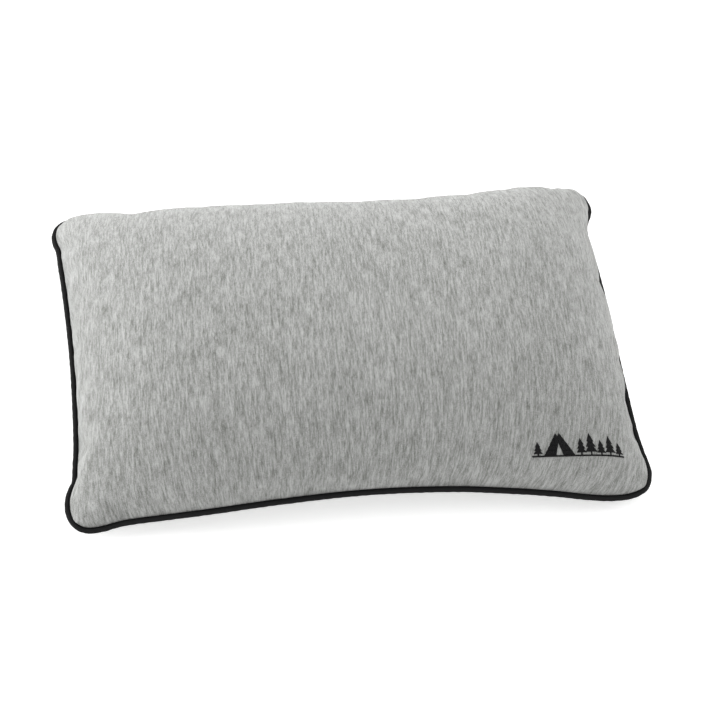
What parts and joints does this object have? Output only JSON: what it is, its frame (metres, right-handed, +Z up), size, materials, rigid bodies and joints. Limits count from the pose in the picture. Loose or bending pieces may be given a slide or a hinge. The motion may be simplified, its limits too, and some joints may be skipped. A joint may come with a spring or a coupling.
{
  "type": "camp pillow",
  "caption": "Plump rectangular camp pillow: fibre-filled inner pillow in a jersey cover with a piped edge, small rounded ears at the corners and a zip under the back edge.",
  "frame": {"origin": "centre of the bounding box, on the floor the pillow lies on", "axes": "+X along the long side, +Y from the plain front edge to the back edge with the zip, +Z up"},
  "size_m": [0.5975, 0.417, 0.1272],
  "materials": {
    "melange_jersey": "soft grey melange cotton jersey, matt",
    "black_piping": "black bias strip, matt",
    "cotton_cord": "undyed twisted cord",
    "zip_tape": "black woven tape",
    "zip_coil": "black nylon coil",
    "zip_metal": "black coated die-cast metal",
    "white_lining": "plain white lining",
    "fibre": "loose white fibre",
    "satin_label": "blank white satin",
    "black_thread": "black embroidery thread"
  },
  "bodies": {
    "pillow": {"cover_top_panel": "melange_jersey", "cover_underside_panel": "melange_jersey", "piping_sleeve": "black_piping", "piping_cord": "cotton_cord", "zip_tape_upper": "zip_tape", "zip_tape_lower": "zip_tape", "zip_coil_upper": "zip_coil", "zip_coil_lower": "zip_coil", "zip_coil_cord_upper": "cotton_cord", "zip_coil_cord_lower": "cotton_cord", "zip_top_stop_upper": "zip_metal", "zip_top_stop_lower": "zip_metal", "zip_bottom_stop": "zip_metal", "care_label": "satin_label", "embroidered_motif": "black_thread", "inner_case_top": "white_lining", "inner_case_underside": "white_lining", "fibre_filling": "fibre"},
    "slider": {"zip_slider_body": "zip_metal"},
    "puller": {"zip_puller": "zip_metal"}
  },
  "joints": [
    {"name": "slider_travel", "type": "slide", "parent": "pillow", "child": "slider", "axis": [1, 0, 0], "range_m": [0, 0.346]},
    {"name": "puller_swing", "type": "hinge", "parent": "slider", "child": "puller", "pos_m": [-0.1732, 0.18852, 0.02592], "axis": [0, 0.1736, 0.9848], "range_deg": [0, 165]}
  ]
}
